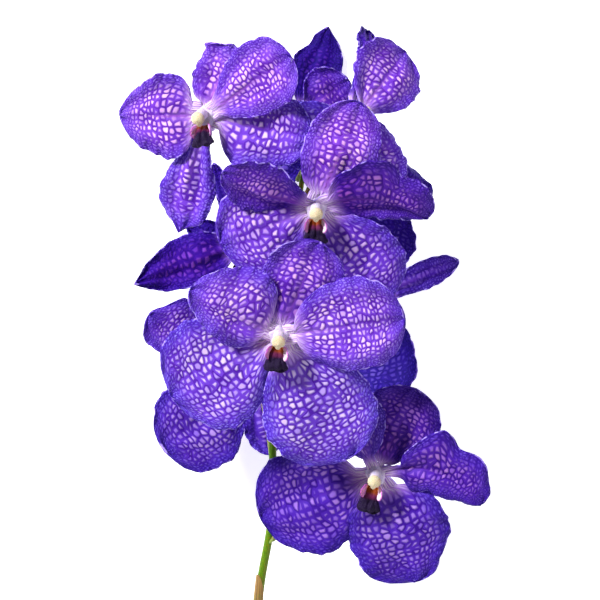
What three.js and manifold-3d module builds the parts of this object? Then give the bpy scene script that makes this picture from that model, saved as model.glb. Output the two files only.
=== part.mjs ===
// A cut spike of a blue-violet netted vanda orchid, lying on its back on a table: nine blooms
// round one green stem. X is across the spike, Y runs up the stem and Z is up from the table.
// All sizes are in millimetres and all angles in degrees.
import * as THREE from 'three';
import Module from 'manifold-3d';

const manifold = await Module();
manifold.setup();

// Moves the whole spike so that the middle of its outline falls on X = 0 and Y = 0.
const SPIKE_SHIFT = [-1.8, 48.3];

// The green stem.
const STEM_FOOT_RADIUS = 2.2;
const STEM_TIP_RADIUS = 1.0;
const STEM_SIDES = 8;
const STEM_RINGS = 17;
// The middle line of the stem, from its cut end on the table up to its tip among the blooms.
const STEM_LINE = [
  [-27, -212, 2.13],
  [-22, -170, 14],
  [-16.4, -118, 30],
  [-11.8, -90, 37],
  [-11, -50, 41],
  [-8, -10, 43],
  [-2, 30, 45],
  [2, 58, 46],
  [3, 68, 47],
];

// A bloom's stalk, which is its ovary too, and the small bract that it leaves the stem by.
const STALK_FOOT_RADIUS = 1.1;
const STALK_TOP_RADIUS = 1.6;
const STALK_SIDES = 6;
const STALK_RINGS = 6;
const STALK_LEAVING = 6;
const STALK_BEHIND_BLOOM = 14;
const BRACT_DROP = 2.5;

// The papery sheaths low on the stem. Each grows out of it, wraps most of the way round it and
// ends in a point. SHEATH_STARTS are the shares of the stem's length where they begin.
const SHEATH = { length: 30, reach: 300, thickness: 0.6, proud: 0.3, flare: 0.8 };
const SHEATH_STARTS = [0.08, 0.255];
const SHEATH_GRID = [3, 6];

// The floral cup that the five tepals grow from, and the gap between the organs in front of it.
const CUP_BACK = -3.2;
const CUP_FRONT = 1.6;
const CUP_PROFILE = [
  [0, CUP_BACK],
  [1.6, CUP_BACK],
  [3.2, -1.7],
  [4.2, 0],
  [3.9, CUP_FRONT],
  [0, CUP_FRONT],
];
const CUP_SIDES = 8;
const GAP = 0.3;
const SPUR_LINE = [
  [0, -2, 0],
  [0, -4.4, -3],
  [0, -6.2, -5.6],
];
const SPUR_RADII = [1.8, 0.7];

// Blades: how thick a tepal is, how its surface is split, and how finely its midrib is stepped.
const TEPAL_THICKNESS = 0.8;
const FRONT_GRID = [7, 5];
const BACK_GRID = [5, 4];
const MIDRIB_STEPS = 40;
const ROOT_RADIUS = 1.2;
const TIP_REACH = 5;
// Each tepal's ruffle starts this share of a wave after the last one's, and each bloom's this
// many waves further on for the whole length of the stem.
const PHASE_STEP = 0.43;
const PHASE_SPREAD = 7;
// The right margin's ruffle is this share of a wave ahead of the left one's.
const RUFFLE_LEAD = 0.4;
// Normals are read by steps of this share of the blade, and no nearer its margins and its tip.
const NORMAL_STEP = 0.02;
const NORMAL_SIDE = 0.85;
const NORMAL_TIP = 0.93;
// Nothing goes below the table: within this height of it a blade bends softly to lie flat.
const PRESS_SOFTNESS = 3;

// What every tepal has unless its own line says otherwise. angle is clockwise from the top as one
// looks into the bloom, lift is the tilt towards the viewer at the root and curl what it gains by
// the tip, bend turns the midrib sideways, roll and twist turn the blade about it, cup is the
// slope of the margins, and wave, waves and phase are the ruffle of the margins. lean makes one
// side the broader, point draws out the tip, and a notch is a dent in one margin.
const PLAIN_BLADE = {
  angle: 0, length: 40, width: 32, claw: 0.12, clawWidth: 6, widest: 0.56, shoulder: 0.8,
  round: 2.2, lift: 8, curl: -16, bend: 0, roll: 0, twist: 0, cup: 6, wave: 1.5, waves: 1.5,
  phase: 0, lean: 0, point: 0, seat: 0, root: ROOT_RADIUS, offset: [0, 0, 0], notches: [],
  thickness: TEPAL_THICKNESS,
};
const BRACT = {
  ...PLAIN_BLADE, length: 6, width: 4, claw: 0.02, clawWidth: 4, widest: 0.3, round: 1.4, lift: 28,
  curl: -10, cup: 50, wave: 0, root: 0,
};
const DORSAL = { ...PLAIN_BLADE, seat: -0.7 };
const PETAL = {
  ...PLAIN_BLADE, angle: 72, length: 43, width: 33, claw: 0.12, clawWidth: 8, seat: 0.2, lift: 14,
};
const SEPAL = {
  ...PLAIN_BLADE, angle: 144, length: 49, width: 40, clawWidth: 8, seat: -0.9, lift: 2, curl: -10,
};

// The lip: a middle lobe that comes forward and turns down, between two upright side lobes.
const MIDDLE_LOBE = {
  ...PLAIN_BLADE, angle: 180, length: 12, width: 8.4, claw: 0.1, clawWidth: 5, widest: 0.66,
  round: 3, lift: 60, curl: -74, cup: -24, wave: 0, seat: 2.05, thickness: 1.4, root: 0,
  offset: [0, -3.9, 0],
};
const SIDE_LOBE = {
  ...PLAIN_BLADE, angle: 138, length: 6.4, width: 5.4, claw: 0.04, clawWidth: 2.2, widest: 0.5,
  lift: 52, curl: 20, roll: -58, cup: 16, wave: 0, seat: 2.45, thickness: 0.9, root: 0,
  offset: [2.1, -4.4, 0],
};
const MIDDLE_LOBE_GRID = [4, 4];
const SIDE_LOBE_GRID = [3, 2];
const BRACT_GRID = [2, 2];
const COLUMN_PROFILE = [
  [0, 0],
  [2.2, 0],
  [2.3, 3.4],
  [2.7, 5.2],
  [2.3, 6.8],
  [0, 7.9],
];
const COLUMN_SIDES = 8;
const COLUMN_NOD = 16;
const COLUMN_SEAT = [0, 1.2, CUP_FRONT + GAP + 0.7];

// The nine blooms. centre is where the tepals meet, face is the way the bloom looks, lip is the
// side of the lip, clockwise from the top. left tepals are measured counter-clockwise, as a
// mirror image of the right ones. stalk is how far up the stem line the stalk leaves it.
const BLOOMS = {
  a: {
    centre: [-38, 73.8, 72], face: [-0.35, -0.15, 0.92], lip: 172, stalk: 0.79,
    dorsal: {
      angle: 25, length: 29, width: 23, clawWidth: 5, lean: 0.1, round: 4.5, point: 1,
      notches: [{ side: -1, at: 0.9, depth: -2.5, reach: 0.07 }],
    },
    left_petal: { angle: 88, length: 35, width: 32, widest: 0.42, shoulder: 0.42, round: 1.25 },
    right_petal: { angle: 60, length: 45, width: 29, widest: 0.66, shoulder: 0.9, round: 3 },
    left_sepal: { angle: 161, length: 46, width: 23, widest: 0.72, shoulder: 1.1, point: 3 },
    right_sepal: { angle: 103, length: 43.5, width: 30 },
    middle_lobe: { lift: 74, curl: -64 },
  },
  b: {
    centre: [6.4, 36.2, 82], face: [0, -0.25, 1], lip: 182, stalk: 0.7,
    dorsal: { angle: 22, length: 45, width: 29 },
    left_petal: { angle: 66, length: 40, width: 27, roll: -35, lift: 20, clawWidth: 6 },
    right_petal: {
      angle: 62, bend: 70, length: 47, width: 27, lean: -0.3, widest: 0.4, round: 1.5, roll: -25,
      curl: -30,
      notches: [{ side: -1, at: 0.66, depth: 4, reach: 0.08 }],
    },
    left_sepal: { angle: 112, length: 40, width: 38 },
    right_sepal: { angle: 143, length: 47, width: 36, clawWidth: 11 },
  },
  c: {
    centre: [-8.4, -14.2, 88], face: [0, -0.25, 1], lip: 187, stalk: 0.57,
    dorsal: { angle: 23, length: 40, width: 32, clawWidth: 8 },
    left_petal: {
      angle: 61, length: 39, width: 31, lean: -0.25, widest: 0.36, shoulder: 0.5, round: 1.8,
    },
    right_petal: { angle: 80, length: 49.5, width: 37, shoulder: 0.6, lean: -0.05, round: 2.6 },
    left_sepal: { angle: 121, length: 49, width: 47 },
    right_sepal: { angle: 153, length: 58, width: 45, clawWidth: 11 },
  },
  d: {
    centre: [30.8, -71, 58], face: [-0.1, -0.25, 1], lip: 194, stalk: 0.42,
    dorsal: {
      angle: 25, length: 38.5, width: 33, claw: 0.12, clawWidth: 3, shoulder: 0.6,
      notches: [{ side: 1, at: 0.32, depth: 4, reach: 0.12 }],
    },
    left_petal: { angle: 20, length: 38, width: 26, claw: 0.2, clawWidth: 5 },
    right_petal: {
      angle: 66, bend: 80, length: 47, width: 25, claw: 0.22, clawWidth: 4, widest: 0.45,
      shoulder: 0.6, lean: -0.3, roll: -12,
      notches: [
        { side: -1, at: 0.48, depth: -3, reach: 0.09 },
        { side: -1, at: 0.62, depth: 3, reach: 0.06 },
        { side: -1, at: 0.9, depth: 3, reach: 0.05 },
      ],
    },
    left_sepal: { angle: 112, length: 51, width: 43 },
    right_sepal: {
      angle: 162, length: 48, width: 42, lean: -0.08,
      notches: [{ side: -1, at: 0.85, depth: 6, reach: 0.2 }],
    },
    middle_lobe: { length: 13, lift: 34, curl: -52 },
  },
  e: {
    centre: [-23, 25, 14], face: [-0.25, -0.2, -0.95], lip: 180, stalk: 0.67,
    dorsal: { angle: 20, length: 34, width: 8, roll: 35 },
    left_petal: { length: 32, width: 26, lift: 30 },
    right_petal: { angle: 76, length: 24, width: 10 },
    left_sepal: { angle: 150, length: 32, width: 28, lift: 20 },
    right_sepal: {
      angle: 112, length: 49, width: 22, widest: 0.46, round: 1.3, point: 3, lean: -0.05,
    },
  },
  f: {
    centre: [-20, -35, 15], face: [-0.25, -0.2, -0.95], lip: 180, stalk: 0.52,
    dorsal: { length: 32, width: 26, lift: 14 },
    left_petal: { length: 34, width: 26, lift: 30 },
    right_petal: {
      angle: 54, length: 51, width: 27, widest: 0.7, round: 5, lean: -0.22,
      notches: [{ side: -1, at: 0.97, depth: 9, reach: 0.1 }],
    },
    left_sepal: { angle: 170, length: 30, width: 16 },
    right_sepal: { angle: 126, length: 48, width: 39 },
  },
  g: {
    centre: [23, 75, 52], face: [0.45, 0.15, 0.88], lip: 222, stalk: 0.87,
    dorsal: { angle: 43, length: 37, width: 31, round: 2.6, lean: -0.05 },
    left_petal: {
      angle: -24, length: 46, width: 10, widest: 0.85, round: 6, twist: 20, lift: -12, seat: -1.2,
    },
    right_petal: { angle: 138, bend: 26, length: 31, width: 15 },
    left_sepal: { angle: 110, length: 34, width: 28, lift: -20 },
    right_sepal: {
      angle: 137, length: 48, width: 21, claw: 0.3, widest: 0.8, shoulder: 1.4, round: 2.6,
      lean: 0.35, lift: 0,
    },
  },
  h: {
    centre: [1, 77, 12], face: [-0.1, 0.1, -1], lip: 180, stalk: 0.94,
    dorsal: {
      angle: -18, length: 39, width: 21, lift: 34, curl: -20, point: 3,
      notches: [{ side: 1, at: 0.85, depth: 4, reach: 0.12 }],
    },
    left_petal: { angle: 50, length: 24, width: 24 },
    right_petal: { length: 34, width: 28, lift: 30 },
    left_sepal: { length: 36, width: 28, lift: 20 },
    right_sepal: { length: 36, width: 28, lift: 20 },
  },
  i: {
    centre: [31, 2, 18], face: [0.45, -0.15, -0.88], lip: 180, stalk: 0.62,
    dorsal: { angle: -10, length: 36, width: 26 },
    left_petal: { angle: 66, length: 38, width: 11, roll: 30 },
    right_petal: { length: 28, width: 24, lift: 26 },
    left_sepal: { angle: 168, length: 46, width: 32 },
    right_sepal: { angle: 122, length: 30, width: 26, lift: 18 },
  },
};
// The blooms that look up from the table, whose tepals are split more finely.
const FRONT_BLOOMS = ['a', 'b', 'c', 'd'];

const COLOURS = {
  tepals: 0x5a35c8,
  lip: 0x1d1030,
  column: 0xf3ebe4,
  stem: 0x6f8f2a,
};

const radians = (degrees) => (degrees * Math.PI) / 180;
const vector = (values) => new THREE.Vector3(...values);

// Half the breadth of a blade at s, from 0 at its root to 1 at its tip, on its left side (-1) or
// its right (1): a claw that widens into a blade with a round tip.
function halfBreadth(blade, s, side) {
  const t = Math.max(0, (s - blade.claw) / (1 - blade.claw));
  const rise = Math.sin((Math.PI / 2) * Math.min(1, t / blade.widest)) ** blade.shoulder;
  const past = Math.max(0, (t - blade.widest) / (1 - blade.widest));
  const fall = Math.sqrt(Math.max(0, 1 - past ** blade.round));
  let half = (blade.clawWidth / 2) * (1 - t) ** 3;
  half += (blade.width / 2) * rise * fall * (1 + blade.lean * side);
  for (const notch of blade.notches) {
    const dent = Math.exp(-(((s - notch.at) / notch.reach) ** 2)) * fall;
    half -= notch.side === side ? notch.depth * dent : 0;
  }
  return half;
}

// The midrib in the bloom's own axes, with the directions along it, across it and out of it.
function midrib(blade) {
  const line = [];
  const start = radians(blade.angle);
  const at = new THREE.Vector3(Math.sin(start), Math.cos(start), 0).multiplyScalar(blade.root);
  at.add(vector(blade.offset));
  at.z += blade.seat;
  for (let step = 0; step <= MIDRIB_STEPS; step += 1) {
    const s = step / MIDRIB_STEPS;
    const turn = radians(blade.angle + blade.bend * s);
    const rise = radians(blade.lift + blade.curl * s);
    const spin = radians(blade.roll + blade.twist * s);
    const outward = new THREE.Vector3(Math.sin(turn), Math.cos(turn), 0);
    const along = outward.clone().multiplyScalar(Math.cos(rise));
    along.z += Math.sin(rise);
    const flat = new THREE.Vector3(Math.cos(turn), -Math.sin(turn), 0);
    const facing = outward.clone().multiplyScalar(-Math.sin(rise));
    facing.z += Math.cos(rise);
    const across = flat.clone().multiplyScalar(Math.cos(spin));
    across.addScaledVector(facing, Math.sin(spin));
    const out = facing.clone().multiplyScalar(Math.cos(spin));
    out.addScaledVector(flat, -Math.sin(spin));
    line.push({ at: at.clone(), along, across, out });
    at.addScaledVector(along, blade.length / MIDRIB_STEPS);
  }
  return line;
}

// What would go below the table is pressed flat on it.
function press(point, rest) {
  const height = point.z - rest;
  if (height < -PRESS_SOFTNESS) {
    point.z = rest;
  } else if (height < PRESS_SOFTNESS) {
    point.z = rest + (height + PRESS_SOFTNESS) ** 2 / (4 * PRESS_SOFTNESS);
  }
  return point;
}

// The middle surface of a blade, placed in the spike. s runs from root to tip and u from -1 on
// the left margin to 1 on the right one.
function bladeSurface(blade, place) {
  const line = midrib(blade);
  const slope = radians(blade.cup);
  return (s, u) => {
    const here = Math.min(s * MIDRIB_STEPS, MIDRIB_STEPS - 1e-6);
    const first = line[Math.floor(here)];
    const next = line[Math.floor(here) + 1];
    const part = here - Math.floor(here);
    const point = first.at.clone().lerp(next.at, part);
    const across = first.across.clone().lerp(next.across, part);
    const out = first.out.clone().lerp(next.out, part);
    const half = halfBreadth(blade, s, u < 0 ? -1 : 1);
    const bent = Math.abs(slope) > 1e-4;
    const sideways = bent ? Math.sin(slope * u) / slope : u;
    const raised = bent ? (1 - Math.cos(slope * u)) / slope : 0;
    const swing = blade.waves * s + blade.phase + (u > 0 ? RUFFLE_LEAD : 0);
    const ruffle = blade.wave * Math.abs(u) ** 3 * Math.sin(2 * Math.PI * swing);
    const tip = Math.hypot((1 - s) * blade.length, half * u) / TIP_REACH;
    const drawn = blade.point * Math.max(0, 1 - tip) ** 2;
    point.addScaledVector(first.along, drawn);
    point.addScaledVector(across, half * sideways);
    point.addScaledVector(out, half * raised + ruffle * Math.sqrt(Math.sin(Math.PI * s) + 1e-9));
    return press(point.applyMatrix4(place), blade.thickness / 2);
  };
}

// The way out of the blade's front at s and u, read a little inside its margins.
function frontWay(surface, s, u) {
  const side = THREE.MathUtils.clamp(u, -NORMAL_SIDE, NORMAL_SIDE);
  const height = THREE.MathUtils.clamp(s, NORMAL_STEP, NORMAL_TIP);
  const across = surface(height, side + NORMAL_STEP).sub(surface(height, side - NORMAL_STEP));
  const along = surface(height + NORMAL_STEP, side).sub(surface(height - NORMAL_STEP, side));
  return across.cross(along).normalize();
}

// A closed sheet of even thickness over a surface, split into triangles alike on both faces.
// heights are the rows from the root, and the tip is one point.
function sheetSolid(surface, thickness, heights, columns) {
  const positions = [];
  const front = [];
  const back = [];
  const stand = (s, u) => {
    const middle = surface(s, u);
    const way = frontWay(surface, s, u).multiplyScalar(thickness / 2);
    front.push(positions.length / 3);
    positions.push(...middle.clone().add(way).toArray());
    back.push(positions.length / 3);
    positions.push(...middle.clone().sub(way).toArray());
  };
  for (const s of heights) {
    for (let column = 0; column <= columns; column += 1) {
      stand(s, (2 * column) / columns - 1);
    }
  }
  stand(1, 0);
  const wide = columns + 1;
  const last = (heights.length - 1) * wide;
  const tip = front.length - 1;
  const triangles = [];
  for (let row = 0; row < heights.length - 1; row += 1) {
    for (let column = 0; column < columns; column += 1) {
      const a = row * wide + column;
      const b = a + wide;
      triangles.push(front[a], front[a + 1], front[b + 1], front[a], front[b + 1], front[b]);
      triangles.push(back[a], back[b + 1], back[a + 1], back[a], back[b], back[b + 1]);
    }
    for (const edge of [0, columns]) {
      const a = row * wide + edge;
      const b = a + wide;
      const strip = [back[a], back[b], front[b], back[a], front[b], front[a]];
      triangles.push(...(edge === 0 ? strip.reverse() : strip));
    }
  }
  for (let column = 0; column < columns; column += 1) {
    const a = last + column;
    triangles.push(front[a], front[a + 1], front[tip], back[a], back[tip], back[a + 1]);
    triangles.push(back[column], back[column + 1], front[column + 1]);
    triangles.push(back[column], front[column + 1], front[column]);
  }
  const right = last + columns;
  triangles.push(back[right], back[tip], front[tip], back[right], front[tip], front[right]);
  triangles.push(back[last], front[tip], back[tip], back[last], front[last], front[tip]);
  return toSolid(positions, triangles);
}

// Rows that crowd together where the claw widens and at the round tip.
function bladeHeights(claw, rows) {
  const heights = [0, claw];
  for (let row = 1; row < rows; row += 1) {
    heights.push(claw + ((1 - claw) * (1 - Math.cos((Math.PI * row) / rows))) / 2);
  }
  return heights;
}

function bladeSolid(blade, place, [rows, columns]) {
  const surface = bladeSurface(blade, place);
  return sheetSolid(surface, blade.thickness, bladeHeights(blade.claw, rows), columns);
}

function toSolid(positions, triangles) {
  const mesh = new manifold.Mesh({
    numProp: 3,
    vertProperties: new Float32Array(positions),
    triVerts: new Uint32Array(triangles),
  });
  return new manifold.Manifold(mesh);
}

// A round solid turned about the Z axis, from a profile of radius and height that starts and
// ends on the axis and runs upwards.
function turnedSolid(profile, sides, place) {
  const positions = [];
  const rings = profile.slice(1, -1);
  const poles = [profile[0][1], profile[profile.length - 1][1]];
  for (const [radius, height] of rings) {
    for (let side = 0; side < sides; side += 1) {
      const angle = (2 * Math.PI * side) / sides;
      const point = vector([radius * Math.cos(angle), radius * Math.sin(angle), height]);
      positions.push(...point.applyMatrix4(place).toArray());
    }
  }
  for (const height of poles) {
    positions.push(...vector([0, 0, height]).applyMatrix4(place).toArray());
  }
  return toSolid(positions, ringTriangles(rings.length, sides));
}

// Triangles of a stack of rings, closed by one point below and one above, listed last.
function ringTriangles(rings, sides) {
  const triangles = [];
  const below = rings * sides;
  const above = below + 1;
  const top = (rings - 1) * sides;
  for (let side = 0; side < sides; side += 1) {
    const next = (side + 1) % sides;
    for (let ring = 0; ring < rings - 1; ring += 1) {
      const a = ring * sides;
      const b = a + sides;
      triangles.push(a + side, a + next, b + next, a + side, b + next, b + side);
    }
    triangles.push(below, next, side, above, top + side, top + next);
  }
  return triangles;
}

// A tube round a curve, with a radius for each share of its length.
function tubeSolid(curve, rings, sides, radiusAt) {
  const positions = [];
  const frames = curve.computeFrenetFrames(rings - 1, false);
  for (let ring = 0; ring < rings; ring += 1) {
    const share = ring / (rings - 1);
    const middle = curve.getPointAt(share);
    for (let side = 0; side < sides; side += 1) {
      const angle = (2 * Math.PI * side) / sides;
      const radius = radiusAt(share);
      const point = middle.clone();
      point.addScaledVector(frames.normals[ring], radius * Math.cos(angle));
      point.addScaledVector(frames.binormals[ring], radius * Math.sin(angle));
      positions.push(...point.toArray());
    }
  }
  positions.push(...curve.getPointAt(0).toArray(), ...curve.getPointAt(1).toArray());
  return toSolid(positions, ringTriangles(rings, sides));
}

// One body out of several that reach into each other.
function fuse(solids) {
  return solids.reduce((joined, solid) => joined.add(solid));
}

// The bloom's own axes: Z is the way that it looks and Y is up the spike.
function bloomPlace(bloom) {
  const face = vector(bloom.face).normalize();
  const right = new THREE.Vector3(0, 1, 0).cross(face).normalize();
  const up = face.clone().cross(right);
  const place = new THREE.Matrix4().makeBasis(right, up, face);
  return place.setPosition(vector(bloom.centre));
}

// A left blade is the mirror image of a right one.
function mirrored(blade) {
  const turned = { ...blade };
  for (const value of ['angle', 'bend', 'roll', 'twist', 'lean']) {
    turned[value] = -blade[value];
  }
  const [x, y, z] = blade.offset;
  turned.offset = [-x, y, z];
  turned.notches = blade.notches.map((notch) => ({ ...notch, side: -notch.side }));
  return turned;
}

function tepals(bloom, place, grid) {
  const spurLine = SPUR_LINE.map((point) => vector(point).applyMatrix4(lipPlace(bloom, place)));
  const spurRadius = (share) => THREE.MathUtils.lerp(...SPUR_RADII, share);
  const solids = [
    turnedSolid(CUP_PROFILE, CUP_SIDES, place),
    tubeSolid(new THREE.CatmullRomCurve3(spurLine), SPUR_LINE.length, STALK_SIDES, spurRadius),
  ];
  const kinds = [
    [DORSAL, bloom.dorsal, false],
    [PETAL, bloom.left_petal, true],
    [PETAL, bloom.right_petal, false],
    [SEPAL, bloom.left_sepal, true],
    [SEPAL, bloom.right_sepal, false],
  ];
  for (const [index, [kind, own, onLeft]] of kinds.entries()) {
    const phase = PHASE_STEP * index + PHASE_SPREAD * bloom.stalk;
    const blade = { ...kind, phase, ...own };
    solids.push(bladeSolid(onLeft ? mirrored(blade) : blade, place, grid));
  }
  return fuse(solids);
}

// The lip's axes are the bloom's, turned so that its middle lobe points away from the top.
function lipPlace(bloom, place) {
  const turn = new THREE.Matrix4().makeRotationZ(radians(180 - bloom.lip));
  return place.clone().multiply(turn);
}

function lip(bloom, place) {
  const axes = lipPlace(bloom, place);
  const middle = { ...MIDDLE_LOBE, ...bloom.middle_lobe };
  return fuse([
    bladeSolid(middle, axes, MIDDLE_LOBE_GRID),
    bladeSolid(SIDE_LOBE, axes, SIDE_LOBE_GRID),
    bladeSolid(mirrored(SIDE_LOBE), axes, SIDE_LOBE_GRID),
  ]);
}

function column(bloom, place) {
  const axes = lipPlace(bloom, place);
  axes.multiply(new THREE.Matrix4().makeTranslation(...COLUMN_SEAT));
  axes.multiply(new THREE.Matrix4().makeRotationX(radians(COLUMN_NOD)));
  return turnedSolid(COLUMN_PROFILE, COLUMN_SIDES, axes);
}

const stemLine = new THREE.CatmullRomCurve3(STEM_LINE.map(vector), false, 'centripetal');
const stemRadius = (share) => THREE.MathUtils.lerp(STEM_FOOT_RADIUS, STEM_TIP_RADIUS, share);

// A stalk runs from the stem to the back of its bloom, which it meets square on.
function stalk(bloom, place) {
  const foot = stemLine.getPointAt(bloom.stalk);
  const way = stemLine.getTangentAt(bloom.stalk);
  const top = new THREE.Vector3(0, 0, CUP_BACK - GAP).applyMatrix4(place);
  const behind = new THREE.Vector3(0, 0, CUP_BACK - STALK_BEHIND_BLOOM).applyMatrix4(place);
  const leaving = foot.clone().addScaledVector(way, STALK_LEAVING);
  leaving.lerp(behind, 0.25);
  const curve = new THREE.CubicBezierCurve3(foot, leaving, behind, top);
  const radiusAt = (share) => THREE.MathUtils.lerp(STALK_FOOT_RADIUS, STALK_TOP_RADIUS, share);
  return tubeSolid(curve, STALK_RINGS, STALK_SIDES, radiusAt);
}

// The bract stands on the stem just under its stalk, on the side that the bloom is on.
function bract(bloom) {
  const foot = stemLine.getPointAt(bloom.stalk);
  const up = stemLine.getTangentAt(bloom.stalk);
  const outward = vector(bloom.centre).sub(foot);
  outward.addScaledVector(up, -outward.dot(up)).normalize();
  const place = new THREE.Matrix4().makeBasis(up.clone().cross(outward), up, outward);
  foot.addScaledVector(up, -BRACT_DROP).addScaledVector(outward, stemRadius(bloom.stalk) / 2);
  return bladeSolid(BRACT, place.setPosition(foot), BRACT_GRID);
}

// A sheath is a sheet rolled round the stem, with its point on the upper side.
function sheath(start) {
  const share = SHEATH.length / stemLine.getLength();
  const surface = (s, u) => {
    const at = start + share * s;
    const way = stemLine.getTangentAt(at);
    const side = way.clone().cross(new THREE.Vector3(0, 0, 1)).normalize();
    const top = side.clone().cross(way);
    const turn = (radians(SHEATH.reach) / 2) * Math.sqrt(Math.max(0, 1 - s ** 2)) * u;
    const point = stemLine.getPointAt(at);
    const lift = SHEATH.proud - SHEATH.thickness / 2 + SHEATH.flare * s ** 3;
    const radius = stemRadius(at) + lift;
    point.addScaledVector(top, radius * Math.cos(turn));
    return point.addScaledVector(side, radius * Math.sin(turn));
  };
  const [rows, columns] = SHEATH_GRID;
  return sheetSolid(surface, SHEATH.thickness, bladeHeights(0.3, rows), columns);
}

function stem() {
  const solids = [tubeSolid(stemLine, STEM_RINGS, STEM_SIDES, stemRadius)];
  for (const bloom of Object.values(BLOOMS)) {
    solids.push(stalk(bloom, bloomPlace(bloom)), bract(bloom));
  }
  solids.push(...SHEATH_STARTS.map(sheath));
  return fuse(solids);
}

function toMesh(name, solid, colour, roughness) {
  const mesh = solid.getMesh();
  const geometry = new THREE.BufferGeometry();
  geometry.setAttribute('position', new THREE.BufferAttribute(mesh.vertProperties, 3));
  geometry.setIndex(new THREE.BufferAttribute(mesh.triVerts, 1));
  geometry.computeVertexNormals();
  const material = new THREE.MeshStandardMaterial({ color: colour, roughness, metalness: 0 });
  const piece = new THREE.Mesh(geometry, material);
  piece.name = name;
  return piece;
}

const spike = new THREE.Group();
spike.position.set(SPIKE_SHIFT[0], SPIKE_SHIFT[1], 0);
spike.add(toMesh('stem', stem(), COLOURS.stem, 0.55));
for (const [letter, bloom] of Object.entries(BLOOMS)) {
  const place = bloomPlace(bloom);
  const grid = FRONT_BLOOMS.includes(letter) ? FRONT_GRID : BACK_GRID;
  spike.add(toMesh(`tepals_${letter}`, tepals(bloom, place, grid), COLOURS.tepals, 0.5));
  spike.add(toMesh(`column_${letter}`, column(bloom, place), COLOURS.column, 0.45));
  spike.add(toMesh(`lip_${letter}`, lip(bloom, place), COLOURS.lip, 0.35));
}

export default spike;
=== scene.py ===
# %% [markdown]
# # A cut spike of netted vanda orchid
# A vanda carries round blooms on curved stalks along one green stem. Each bloom has five broad
# tepals (three sepals behind, two petals in front), a small dark lip and a pale column with a
# cream cap. The eye first reads the net of dark veins round pale cells. The solids are already
# made and only have to be dressed. The pieces below repeat their measures in millimetres, with
# small changes at the bases of some tepals and in the cups, lips and sheaths.

# %% Load the solids that the spike is dressed on
import math

import bpy
import numpy as np
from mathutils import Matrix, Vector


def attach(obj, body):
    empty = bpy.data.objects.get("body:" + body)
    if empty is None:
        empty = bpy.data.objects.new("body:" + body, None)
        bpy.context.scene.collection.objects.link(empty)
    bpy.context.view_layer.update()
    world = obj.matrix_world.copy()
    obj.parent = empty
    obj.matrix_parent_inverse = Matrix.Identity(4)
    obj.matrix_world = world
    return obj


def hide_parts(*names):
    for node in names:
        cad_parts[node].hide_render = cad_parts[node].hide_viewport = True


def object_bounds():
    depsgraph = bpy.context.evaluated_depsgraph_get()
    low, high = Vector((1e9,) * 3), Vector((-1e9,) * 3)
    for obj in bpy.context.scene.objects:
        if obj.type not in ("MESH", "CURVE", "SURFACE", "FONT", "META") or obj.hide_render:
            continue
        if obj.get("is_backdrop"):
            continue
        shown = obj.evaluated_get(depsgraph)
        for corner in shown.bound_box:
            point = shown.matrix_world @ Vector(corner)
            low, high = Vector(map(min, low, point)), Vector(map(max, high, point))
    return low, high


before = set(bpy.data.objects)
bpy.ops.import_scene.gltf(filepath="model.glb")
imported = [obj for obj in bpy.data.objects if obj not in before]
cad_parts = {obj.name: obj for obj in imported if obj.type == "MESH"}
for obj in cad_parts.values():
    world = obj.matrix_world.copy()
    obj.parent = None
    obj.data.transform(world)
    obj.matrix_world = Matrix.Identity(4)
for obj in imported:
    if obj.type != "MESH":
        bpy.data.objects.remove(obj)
solid_low, solid_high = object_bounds()
MM = 0.001
print("solids:", len(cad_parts))
print("their box in mm:", [round(v / MM, 1) for v in (*solid_low, *solid_high)])

# %% [markdown]
# ## The camera
# The photographer looks straight down from far off, so the blooms hardly shrink with depth. A
# long lens 1.3 m up does that. It is aimed at the blooms, so the low end of the stem runs out of
# the picture. The blooms are measured from a point near their middle, and SPIKE_SHIFT is where
# that point lies on the table.

# %% Camera
SPIKE_SHIFT = np.array([-1.8, 48.3, 0.0])
CAMERA_HEIGHT = 1300
BLOOM_HEIGHT = 75
VIEW_WIDTH = 240
SENSOR_WIDTH = 36

camera = bpy.data.objects.new("camera", bpy.data.cameras.new("camera"))
camera.data.sensor_width = SENSOR_WIDTH
camera.data.lens = SENSOR_WIDTH * (CAMERA_HEIGHT - BLOOM_HEIGHT) / VIEW_WIDTH
camera.location = (*SPIKE_SHIFT[:2] * MM, CAMERA_HEIGHT * MM)
bpy.context.scene.collection.objects.link(camera)
bpy.context.scene.camera = camera
print("lens:", round(camera.data.lens, 1), "mm")

# %% [markdown]
# ## Light
# The photograph has the even light of a studio, with a little more from the upper left. Two soft
# lamps and a pale sky give that. The sky is dimmer overhead, so that the folds between the blooms
# stay dark. The plain picture style keeps violet from being washed out.

# %% Lamps, sky and picture style
SKY_LOW, SKY_HIGH, SKY_TURN = 0.8, 0.2, 0.4
LAMPS = {
    "key": dict(place=(-1.6, 1.28, 1.6), size=0.65, power=120),
    "fill": dict(place=(0.9, -0.7, 1.2), size=1.4, power=10),
}


def hang_lamp(name, place, size, power):
    data = bpy.data.lights.new(name, "AREA")
    data.shape = "DISK"
    data.size = size
    data.energy = power
    lamp = bpy.data.objects.new(name, data)
    lamp.location = place
    aim = -lamp.location.normalized()
    lamp.rotation_euler = aim.to_track_quat("-Z", "Y").to_euler()
    bpy.context.scene.collection.objects.link(lamp)


for lamp_name, lamp_values in LAMPS.items():
    hang_lamp(lamp_name, **lamp_values)

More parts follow.
